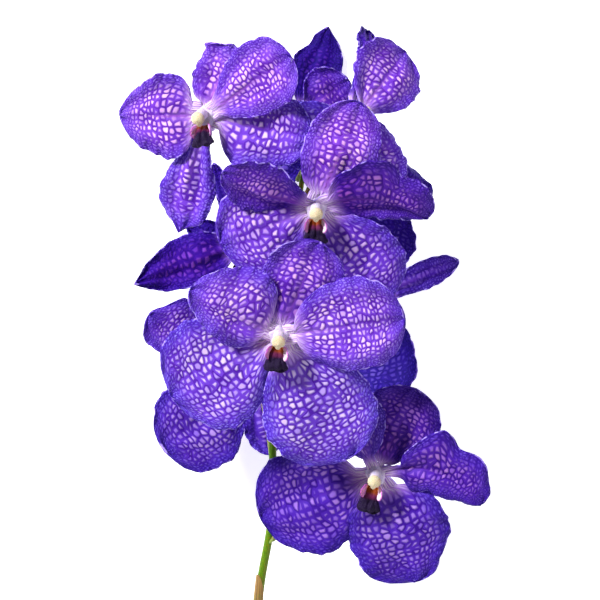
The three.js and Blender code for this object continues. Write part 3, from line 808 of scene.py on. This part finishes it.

# %% [markdown]
# ## From cells to a blade
# The soft steps below say where each part of the finish starts and ends, in centimetres from the
# margin or midrib, or as a share of the length. The colour is laid in this order: net, finer net
# near the margin, rosy flush and crease along the midrib, the blade's own tint and its painted
# shade, the lined claw with a share of that painted shade, and last the rim's pale line, a painted
# highlight which comes and goes.

# %% Finish of a tepal's front and back
BROAD_NET, FINE_NET = (1.0, 0.68), (1.55, 0.8)
PALE_INSIDE = (0.15, 1.0, 0.15, 1.0)
PALE_BELOW_TIP = (1.0, 0.6, 0.35, 1.0)
PALE_BY_CHANCE = (0.05, 1.0, 0.25, 1.0)
WALL_SHADES = (0.1, 0.9)
NET_CHANGE = (0.05, 0.8)
FLUSH_BREADTH, FLUSH_RUN = (0.34, 0.02), (0.52, 0.14)
CREASE_BREADTH, CREASE_RUN = (0.08, 0.02), (0.85, 0.3)
LESS_ROSY_IF_BLUE = (0.6, 0.2, 0.25, 0.8)
BLUER_MARGIN = (0.9, 0.1, 0.0, 0.2)
# The second tint darkens as painted shade, the claw takes a share of that painted shade, and the rim
# line is a painted highlight.
BLUE_TINT, PAINTED_SHADE_TINT = (0.66, 0.98, 1.0, 1), (0.3, 0.1, 0.53, 1)
CLAW_LINES, LINE_WOBBLE, LINE_BREADTH = 6.5, 0.5, (0.0, 0.42)
LINES_RUN, CLAW_RUN, CLAW_SHADE_SHARE = (0.24, 0.06), (0.25, 0.08), 0.3
RIM_HIGHLIGHT_LINE, RIM_HIGHLIGHT_PATCHES, RIM_SCALE = (0.06, 0.03), (0.5, 0.62), 24


def netted(name, walls, cells, margin, claw, rim, roughness):
    """Each set of colours runs from darker to lighter, but the claw's from light to rosy."""
    finish = Finish(
        name, roughness, Subsurface_Weight=0.06, Specular_IOR_Level=0.08,
        Subsurface_Radius=(0.6, 0.3, 1.0), Subsurface_Scale=0.8 * MM,
    )
    between, mix, times = finish.between, finish.mix, finish.times
    spot, own, other = cell_pattern(finish, *BROAD_NET)
    fine_spot, fine_own, _ = cell_pattern(finish, *FINE_NET)
    edge, share = pair(finish, "margins")
    off_rib, breadth = pair(finish, "midrib")
    blue, painted_shade = pair(finish, "tone")
    bright = times(between(edge, *PALE_INSIDE), between(share, *PALE_BELOW_TIP))
    bright = times(bright, between(own, *PALE_BY_CHANCE))
    base = mix(spot, mix(between(other, *WALL_SHADES), *walls), mix(bright, *cells))
    outer = mix(fine_spot, margin[0], mix(fine_own, *margin[1:]))
    base = mix(between(edge, *NET_CHANGE), outer, base)
    rosy = between(blue, *LESS_ROSY_IF_BLUE)
    for reach, run, tint in (
        (FLUSH_BREADTH, FLUSH_RUN, claw[1]), (CREASE_BREADTH, CREASE_RUN, claw[2])
    ):
        stripe = times(between(finish.off(off_rib, 0), *reach), between(share, *run))
        base = mix(times(stripe, rosy), base, tint)
    bluer = finish.math("ADD", blue, between(edge, *BLUER_MARGIN))
    base = mix(bluer, base, BLUE_TINT, "MULTIPLY")
    # Painted shade: the blade's darkness number multiplies the colour towards deep violet.
    base = mix(painted_shade, base, PAINTED_SHADE_TINT, "MULTIPLY")
    lines = finish.math("ADD", times(breadth, CLAW_LINES), times(own, LINE_WOBBLE))
    ray = between(finish.off(finish.math("FRACT", lines), 0.5), *LINE_BREADTH)
    lined = mix(times(ray, between(share, *LINES_RUN)), claw[1], claw[0])
    # A share of the same painted shade darkens the lined claw.
    lined = mix(times(painted_shade, CLAW_SHADE_SHARE), lined, PAINTED_SHADE_TINT, "MULTIPLY")
    base = mix(between(share, *CLAW_RUN), base, lined)
    # Painted highlight: a pale line along the rim, which comes and goes in patches.
    patches = between(finish.noise(RIM_SCALE, 1), *RIM_HIGHLIGHT_PATCHES)
    finish.paint(mix(times(between(edge, *RIM_HIGHLIGHT_LINE), patches), base, rim))
    finish.relief(spot, 0.3, 0.6)
    return finish


# The rim colour of each is a painted highlight.
tepal_front = netted(
    "netted_violet", walls=("581c9e", "763ac2"), cells=("a066e0", "ffc8f6"),
    margin=("5424a4", "7444c8", "9c74e0"), claw=("e2d6e6", "aa74d2", "9c56c6"),
    rim="a890ec", roughness=0.55,
)
tepal_back = netted(
    "dull_violet_back", walls=("300e88", "4218a0"), cells=("5228b4", "9a74dc"),
    margin=("2e0c80", "42189c", "6238bc"), claw=("b9a2c8", "6a3aa0", "5a2c98"),
    rim="7a5cc4", roughness=0.62,
)
print("net finishes:", tepal_front.material.name, tepal_back.material.name)

# %% Finish of the rim, the cup and the spur
# The rim faces are dark violet with pale patches of painted highlight.
tepal_rim_highlight = Finish("pale_rim_highlight", 0.6, Specular_IOR_Level=0.1)
rim_highlight_patches = tepal_rim_highlight.between(tepal_rim_highlight.noise(RIM_SCALE, 1), *RIM_HIGHLIGHT_PATCHES)
tepal_rim_highlight.paint(tepal_rim_highlight.mix(rim_highlight_patches, "4c24a0", "8c74d8"))

cup_skin = Finish("claw_white", 0.6, Subsurface_Weight=0.1, Specular_IOR_Level=0.1)
cup_noise = cup_skin.noise(380, 3)
cup_speckle = cup_skin.between(cup_noise, 0.35, 0.6)
cup_skin.paint(cup_skin.mix(cup_speckle, "b898ce", "dcd0e2"))
cup_skin.relief(cup_noise, 0.15, 0.4)
print("rim and cup finishes ready")

# %% [markdown]
# ## Turned forms and tubes
# The cup is turned like a small bowl, and so is the column later on. The spur, the stem and its
# stalks are tubes round a curved line. Both need smooth curves through a few points.

# %% Curves, turned forms and tubes
TUBE_START = (1, 0.3, 0)
LEAST_RADIUS = 0.02


def curve_through(points, steps, uneven=False):
    """Close points on a smooth curve. uneven allows for points at uneven distances."""
    points = np.array(points, float)
    ends = np.concatenate([[2 * points[0] - points[1]], points, [2 * points[-1] - points[-2]]])
    t = (np.arange(steps) / steps)[:, None]
    made = []
    for a, b, c, d in zip(ends, ends[1:], ends[2:], ends[3:]):
        gaps = [np.linalg.norm(q - p) ** 0.5 if uneven else 1 for p, q in ((a, b), (b, c), (c, d))]
        ab, bc, cd = gaps
        leave = ((b - a) / ab - (c - a) / (ab + bc) + (c - b) / bc) * bc
        arrive = ((c - b) / bc - (d - b) / (bc + cd) + (d - c) / cd) * bc
        square, cube = 3 * (c - b) - 2 * leave - arrive, 2 * (b - c) + leave + arrive
        made.extend(b + leave * t + square * t**2 + cube * t**3)
    return np.array([*made, points[-1]])


def ring_faces(rings, sides):
    a = np.arange(rings - 1)[:, None] * sides + np.arange(sides)
    b = np.arange(rings - 1)[:, None] * sides + (np.arange(sides) + 1) % sides
    return np.stack([a, b, b + sides, a + sides], axis=-1).reshape(-1, 4)


def add_turned(basket, profile, steps, place, finish, sides, shape):
    """A curve through (radius, height) pairs, turned about Z. shape(turn, height) swells it."""
    profile = curve_through(profile, steps)
    turn = 2 * np.pi * np.arange(sides) / sides
    high = profile[:, 1:] * np.ones_like(turn)
    radius = np.maximum(profile[:, :1], LEAST_RADIUS) * shape(turn, profile[:, 1:])
    points = np.stack([radius * np.cos(turn), radius * np.sin(turn), high], axis=-1)
    around = np.broadcast_to(turn / (2 * np.pi), high.shape)
    pairs = np.stack([around, high / 10], axis=-1).reshape(-1, 2)
    faces = [(ring_faces(len(profile), sides), finish)]
    basket.put(placed(points.reshape(-1, 3), place), faces, margins=pairs)


def add_tube(basket, line, radii, finish, sides, ribs=None):
    """A tube from the first of two radii to the second, in a frame that never twists."""
    way = np.gradient(line, axis=0)
    way /= np.linalg.norm(way, axis=1, keepdims=True)
    turn = 2 * np.pi * np.arange(sides) / sides
    share = np.linspace(0, 1, len(line))
    normal, rows = np.array(TUBE_START, float), []
    for k, radius in enumerate(np.linspace(*radii, len(line))):
        normal = unit(normal - way[k] * (normal @ way[k]))
        side = np.cross(way[k], normal)
        ring = np.cos(turn)[:, None] * normal + np.sin(turn)[:, None] * side
        swell = ribs(turn, share[k]) if ribs else np.ones(sides)
        rows.append(line[k] + (radius * swell)[:, None] * ring)
    pairs = np.stack([np.tile(turn / (2 * np.pi), len(line)), np.repeat(share, sides)], axis=-1)
    ends = [np.arange(sides)[::-1], np.arange(sides) + (len(line) - 1) * sides]
    faces = [(ring_faces(len(line), sides), finish), (ends, finish)]
    basket.put(np.concatenate(rows), faces, margins=pairs)


print("points of a small curve:", len(curve_through([(0, 0), (1, 1), (0, 2)], 5)))

# %% [markdown]
# ## Building the tepals
# A bloom is its cup, its spur and five blades, gathered in one basket. Blooms in front have finer
# grids than those behind. Some backs that face the camera are netted like fronts.

# %% Cup, spur and the five tepals of each bloom
CUP_BACK, CUP_FRONT = -3.2, 1.6
CUP_PROFILE = [
    (0, CUP_BACK), (1.6, CUP_BACK), (3.2, -1.7), (4.2, -0.2), (3.6, 1.1), (2.6, CUP_FRONT),
    (0, CUP_FRONT),
]
CUP_LOBE = 0.1
SPUR_LINE = [(0, -2, 0), (0, -4.4, -3), (0, -6.2, -5.6)]
SPUR_RADII = (1.8, 0.7)
PHASE_STEP, PHASE_SPREAD = 0.43, 7
TEPALS = {
    "dorsal": DORSAL, "left_petal": PETAL, "right_petal": PETAL, "left_sepal": SEPAL,
    "right_sepal": dict(SEPAL, tint=0.5),
}
FRONT_BLOOMS, FRONT_SIZE, BACK_SIZE = "abcdg", (84, 52), (60, 36)
FRONT, BACK, RIM, CUP = range(4)


def five_lobes(turn, height):
    """The cup bulges a little under each of the five claws."""
    return 1 + CUP_LOBE * np.cos(5 * (turn - np.pi / 2)) * np.ones_like(height)


draws = np.random.default_rng(20)
for letter, bloom in BLOOMS.items():
    basket = Basket()
    place = place_of(bloom)
    add_turned(basket, CUP_PROFILE, 5, place, CUP, 60, five_lobes)
    spur = placed(curve_through(SPUR_LINE, 6), place_of(bloom, of_lip=True))
    add_tube(basket, spur, SPUR_RADII, CUP, 16)
    for index, (kind, plain) in enumerate(TEPALS.items()):
        phase = PHASE_STEP * index + PHASE_SPREAD * bloom["stalk"]
        # A tepal takes its bloom's painted shade unless it has its own.
        blade = {**plain, "phase": phase, "painted_shade": bloom["painted_shade"], **bloom[kind]}
        blade["tint"] += bloom["tint"]
        blade = mirrored(blade) if kind.startswith("left") else blade
        size = FRONT_SIZE if letter in FRONT_BLOOMS else BACK_SIZE
        sides = (FRONT, FRONT if blade["bright_back"] else BACK, RIM)
        add_blade(basket, blade, place, sides, size, draws.random())
    finishes = (tepal_front, tepal_back, tepal_rim_highlight, cup_skin)
    basket.piece(f"bloom_{letter}_tepals", finishes, f"tepals_{letter}")

# %% [markdown]
# ## The lip
# The lip is the small dark tongue under the column. Its middle lobe comes forward and turns down,
# nearly black, and two upright side lobes flank an orange throat. They use the blade formula too.
# The tint of a side lobe says how much rosy magenta is painted on it as painted shade: the left one has
# it, the right one stays white as if lit.

# %% Finish of the middle lobe
LIP_FLUSH_RUN, LIP_THROAT_RUN = (0.48, 0.34), (0.34, 0.22)
lip_dark = Finish("black_violet_satin", 0.42, Specular_IOR_Level=0.12)
_, lip_share = pair(lip_dark, "margins")
lip_noise = lip_dark.noise(900, 3)
lip_base = lip_dark.mix(lip_noise, "0c0618", "26103f")
for run, dark, light in ((LIP_FLUSH_RUN, "42103c", "7a2456"), (LIP_THROAT_RUN, "4a1208", "a85014")):
    nearer = lip_dark.between(lip_share, *run)
    lip_base = lip_dark.mix(nearer, lip_base, lip_dark.mix(lip_noise, dark, light))
lip_dark.paint(lip_base)
lip_dark.relief(lip_noise, 0.25, 0.6)
print("finish:", lip_dark.material.name, "from throat to tip")

# %% Finish of the side lobes
LOBE_RIM, LOBE_ROOT = (0.06, 0.01), (0.4, 0.12)
lip_pale = Finish("rosy_white_lobe", 0.45, Subsurface_Weight=0.1, Specular_IOR_Level=0.2)
lobe_edge, lobe_share = pair(lip_pale, "margins")
painted_lobe_shade, _ = pair(lip_pale, "tone")
lobe_noise = lip_pale.noise(420, 2)
lobe_base = lip_pale.mix(lobe_noise, "e6b4e2", "fbeef8")
lobe_base = lip_pale.mix(lip_pale.between(lobe_edge, *LOBE_RIM), lobe_base, "d070c8")
# Painted shade: the left lobe is painted rosy magenta as if turned from the light.
lobe_base = lip_pale.mix(painted_lobe_shade, lobe_base, lip_pale.mix(lobe_noise, "7c1a80", "b84ab4"))
lip_pale.paint(lip_pale.mix(lip_pale.between(lobe_share, *LOBE_ROOT), lobe_base, "d8832c"))
lip_pale.relief(lobe_noise, 0.15, 0.4)
print("finish:", lip_pale.material.name)

# %% Lips
MIDDLE_LOBE = dict(
    PLAIN_BLADE, angle=180, length=12, width=8.4, claw=0.1, claw_width=5, widest=0.66, round=3,
    lift=60, curl=-74, cup=-24, wave=0, seat=2.05, thickness=1.4, root=0, offset=(0, -3.9, 0),
    point=-1.6, keel=1.0,
    notches=((-1, 0.45, 0.8, 0.12), (1, 0.42, 0.7, 0.12), (-1, 0.8, -1.1, 0.1), (1, 0.84, -0.7, 0.1)),
)
SIDE_LOBE = dict(
    PLAIN_BLADE, angle=138, length=6.4, width=5.4, claw=0.04, claw_width=2.2, widest=0.5,
    lift=52, curl=20, roll=-58, twist=24, cup=16, wave=0, seat=2.45, thickness=0.9, root=0,
    offset=(2.1, -4.4, 0),
)
MIDDLE_LOBE_SIZE, SIDE_LOBE_SIZE = (40, 24), (24, 16)
MIDDLE_LOBE_FINE, SIDE_LOBE_FINE = 0.7, 0.2

for letter, bloom in BLOOMS.items():
    basket = Basket()
    place = place_of(bloom, of_lip=True)
    middle = {**MIDDLE_LOBE, **bloom.get("middle_lobe", {})}
    add_blade(basket, middle, place, (0,) * 3, MIDDLE_LOBE_SIZE, draws.random(), MIDDLE_LOBE_FINE)
    # The mirrored, left lobe gets a share of rosy magenta as painted shade.
    for lobe in (SIDE_LOBE, dict(mirrored(SIDE_LOBE), tint=0.8)):
        add_blade(basket, lobe, place, (1,) * 3, SIDE_LOBE_SIZE, draws.random(), SIDE_LOBE_FINE)
    basket.piece(f"bloom_{letter}_lip", (lip_dark, lip_pale), f"lip_{letter}")

# %% [markdown]
# ## The column
# The column is the short pale pillar in the middle of the bloom. It has a hollow on the side of
# the lip, the stigma, and over that a cream cap with a small beak. One turned form does for all
# of it when its radius is let in for the hollow and out for the beak and the low wings.

# %% Form of the column
GAP = 0.3
COLUMN_PROFILE = [(0, 0), (2.2, 0), (2.3, 3.4), (2.7, 5.2), (2.3, 6.8), (0, 7.9)]
COLUMN_NOD = 16
COLUMN_SEAT = (0, 1.2, CUP_FRONT + GAP + 0.7)
LIP_SIDE = 0.75
COLUMN_RELIEF = {
    "hollow": (-0.3, 0, 0.55, 3.4, 1.1), "beak": (0.3, 0, 0.35, 6, 0.8),
    "wings": (0.12, 1.1, 0.3, 1.6, 1.6), "groove": (-0.22, 0.55, 0.16, 6.8, 0.9),
}
SEAM = (-0.12, 4.7, 0.25)


def column_shape(turn, height):
    """How much the column swells. Each form has a size, and a place and reach both ways."""
    off_lip = np.abs((turn - LIP_SIDE * 2 * np.pi + np.pi) % (2 * np.pi) - np.pi)
    swell = 1 + SEAM[0] * bump_at(height, *SEAM[1:])
    for size, off, width, high, reach in COLUMN_RELIEF.values():
        swell = swell + size * bump_at(off_lip, off, width) * bump_at(height, high, reach)
    return swell


print("column at the stigma:", round(float(column_shape(1.5 * np.pi, 3.4)), 2), "of its full radius")

# %% Finish of the column
CAP_EDGE, CAP_HEIGHT = (0.44, 0.52), 0.48
column_skin = Finish("waxy_cream", 0.45, Subsurface_Weight=0.15, Specular_IOR_Level=0.2)
between, mix, times = column_skin.between, column_skin.mix, column_skin.times
around, high = pair(column_skin, "margins")
speckle = between(column_skin.noise(420, 2), 0.3, 0.62)
off_lip = column_skin.off(around, LIP_SIDE)
# Painted shade: a darker line along the seam between cap and column.
painted_seam_shade = between(column_skin.off(high, CAP_HEIGHT), 0.05, 0.01)
stigma = times(between(off_lip, 0.12, 0.03), between(high, 0.5, 0.4))
beak_tip = times(between(off_lip, 0.06, 0.02), between(high, 0.68, 0.54))
white, cream = mix(speckle, "c8a8ce", "e8dae6"), mix(speckle, "a8823e", "efe2c4")
column_base = mix(between(high, *CAP_EDGE), white, cream)
# The seam line is painted shade; the stigma and beak tip are their own colours.
for where, strength, tint in (
    (painted_seam_shade, 0.7, "a0704c"), (stigma, 1, "8c3a34"), (beak_tip, 0.8, "d8a83c")
):
    column_base = mix(times(where, strength), column_base, tint)
column_skin.paint(column_base)
column_skin.relief(speckle, 0.12, 0.35)
print("finish:", column_skin.material.name)

# %% Columns
for letter, bloom in BLOOMS.items():
    basket = Basket()
    (right, up, out), centre = place_of(bloom, of_lip=True)
    seat = np.array(COLUMN_SEAT) @ np.array([right, up, out]) + centre
    nodded = np.array([right, *turned_by(COLUMN_NOD, up, out)])
    add_turned(basket, COLUMN_PROFILE, 9, (nodded, seat), 0, 48, column_shape)
    basket.piece(f"bloom_{letter}_column", (column_skin,), f"column_{letter}")

# %% [markdown]
# ## Stem, stalks, bracts and sheaths
# The stem is a round green rod that thins towards its tip. A stalk with six low, slowly turning
# ribs leaves it for each bloom, over a small bract, and two papery sheaths wrap it lower down.

# %% The line of the stem
STEM_LINE = [
    (-27, -212, 2.13), (-22, -170, 14), (-16.4, -118, 30), (-11.8, -90, 37), (-11, -50, 41),
    (-8, -10, 43), (-2, 30, 45), (2, 58, 46), (3, 68, 47),
]
STEM_RADII = (2.2, 1.0)


def length_of(line):
    return np.linalg.norm(np.diff(line, axis=0), axis=1)


def evenly(line, shares):
    """Points of a line at shares of its length."""
    run = np.concatenate([[0], np.cumsum(length_of(line))])
    parts = [np.interp(np.asarray(shares) * run[-1], run, line[:, k]) for k in range(3)]
    return np.stack(parts, axis=-1)


stem_line = curve_through(STEM_LINE, 60, uneven=True)
STEM_LENGTH = length_of(stem_line).sum()


def stem_at(share):
    return evenly(stem_line, [share])[0]


def stem_way(share):
    near = evenly(stem_line, [max(0, share - 0.001), min(1, share + 0.001)])
    return unit(near[1] - near[0])


def stem_radius(share):
    return STEM_RADII[0] + (STEM_RADII[1] - STEM_RADII[0]) * share


print("stem:", round(STEM_LENGTH), "mm long")

# %% Finish of the green parts
stem_skin = Finish("green_stem", 0.5, Subsurface_Weight=0.05, Specular_IOR_Level=0.2)
stem_noise = stem_skin.noise(130, 4)
stem_skin.paint(stem_skin.mix(stem_noise, "2a5602", "648e0e"))
stem_skin.relief(stem_noise, 0.2, 0.5)

PURPLE_RUN = (0.25, 0.8)
stalk_skin = Finish("purple_stalk", 0.45, Subsurface_Weight=0.05, Specular_IOR_Level=0.45)
_, stalk_share = pair(stalk_skin, "margins")
stalk_noise = stalk_skin.noise(200, 3)
stalk_green = stalk_skin.mix(stalk_noise, "5b6a2c", "93a058")
stalk_purple = stalk_skin.mix(stalk_noise, "4b2c4e", "8a6284")
purple_share = stalk_skin.between(stalk_share, *PURPLE_RUN)
stalk_skin.paint(stalk_skin.mix(purple_share, stalk_green, stalk_purple))
stalk_skin.relief(stalk_noise, 0.15, 0.4)

DRIED_RUN = (0.7, 1.3)
sheath_skin = Finish("papery_sheath", 0.7, Sheen_Weight=0.1)
sheath_noise = sheath_skin.noise(160, 4)
sheath_around, sheath_share = pair(sheath_skin, "margins")
fibres = sheath_skin.between(sheath_skin.noise(7, 3, Vector=sheath_around), 0.35, 0.65)
sheath_brown = sheath_skin.mix(fibres, "5a3c16", "ac8440")
sheath_green = sheath_skin.mix(sheath_noise, "4a6410", "8c9a3c")
dried = sheath_skin.between(sheath_skin.math("ADD", sheath_share, sheath_noise), *DRIED_RUN)
sheath_skin.paint(sheath_skin.mix(dried, sheath_green, sheath_brown))
sheath_skin.relief(sheath_noise, 0.25, 0.6)
print("green finishes ready")

# %% Stalks and sheaths
SKIN, STALK, PAPER = range(3)
STALK_RADII = (1.1, 1.6)
STALK_BEHIND_BLOOM = 14
STALK_LEAVING, STALK_EASE = 6, 0.25
RIB_SIZE, RIBS, RIB_TURN = 0.05, 6, 5
BRACT_DROP = 2.5
BRACT = dict(
    PLAIN_BLADE, length=6, width=4, claw=0.02, claw_width=4, widest=0.3, round=1.4, lift=28,
    curl=-10, cup=50, wave=0, root=0,
)
SHEATH = dict(length=30, reach=300, thickness=0.6, proud=0.3, flare=0.35, turn=-50)
SHEATH_STARTS = (0.08, 0.255)


def stalk_line(bloom):
    """A curve that leaves the stem along it and comes to the bloom from straight behind."""
    place = place_of(bloom)
    foot = stem_at(bloom["stalk"])
    top = placed(np.array([0, 0, CUP_BACK - GAP]), place)
    behind = placed(np.array([0, 0, CUP_BACK - STALK_BEHIND_BLOOM]), place)
    leaving = foot + stem_way(bloom["stalk"]) * STALK_LEAVING
    leaving = leaving + (behind - leaving) * STALK_EASE
    t = np.linspace(0, 1, 60)[:, None]
    line = foot * (1 - t) ** 3 + 3 * leaving * t * (1 - t) ** 2
    line = line + 3 * behind * t**2 * (1 - t) + top * t**3
    return evenly(line, np.linspace(0, 1, 48))


def stalk_ribs(turn, share):
    """Six low ribs that turn slowly round a stalk."""
    return 1 + RIB_SIZE * np.cos(RIBS * turn + RIB_TURN * share)


def add_sheath(basket, start):
    s, u = grid_of(40, 48)
    points = np.zeros((*s.shape, 3))
    for k, share in enumerate(s[:, 0]):
        at = start + SHEATH["length"] / STEM_LENGTH * share
        way = stem_way(at)
        side = unit(np.cross(way, (0, 0, 1)))
        spread = SHEATH["turn"] + SHEATH["reach"] / 2 * math.sqrt(max(0, 1 - share**2)) * u[k]
        spread = np.radians(spread)[:, None]
        lift = SHEATH["proud"] - SHEATH["thickness"] / 2 + SHEATH["flare"] * share**3
        around = np.cos(spread) * np.cross(side, way) + np.sin(spread) * side
        points[k] = stem_at(at) + (stem_radius(at) + lift) * around
    put_sheet(basket, points, SHEATH["thickness"], (PAPER,) * 3, margins=(u, s))


print("the stalk of bloom c:", round(length_of(stalk_line(BLOOMS["c"])).sum()), "mm long")

# %% Stem, stalks, bracts and sheaths as one piece
basket = Basket()
add_tube(basket, evenly(stem_line, np.linspace(0, 1, 220)), STEM_RADII, SKIN, 24)
for bloom in BLOOMS.values():
    add_tube(basket, stalk_line(bloom), STALK_RADII, STALK, 24, stalk_ribs)
    foot, up = stem_at(bloom["stalk"]), stem_way(bloom["stalk"])
    outward = np.array(bloom["centre"], float) - foot
    outward = unit(outward - up * (outward @ up))
    bract_axes = np.array([np.cross(up, outward), up, outward])
    bract_foot = foot - up * BRACT_DROP + outward * stem_radius(bloom["stalk"]) / 2
    add_blade(basket, BRACT, (bract_axes, bract_foot), (PAPER,) * 3, (16, 12), 0.5, 0.0)
for start in SHEATH_STARTS:
    add_sheath(basket, start)
basket.piece("spike_stem", (stem_skin, stalk_skin, sheath_skin), "stem")

# %% [markdown]
# ## Is it still the same size?
# The fine pieces may not grow past the solids. Both boxes are written down for comparison.

# %% Boxes, and the end
fine_low, fine_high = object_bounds()
boxes = {
    "cad": [list(solid_low), list(solid_high)],
    "visual": [list(fine_low), list(fine_high)],
}
for name, (low, high) in boxes.items():
    print(name, [round((b - a) / MM, 1) for a, b in zip(low, high)], "mm")
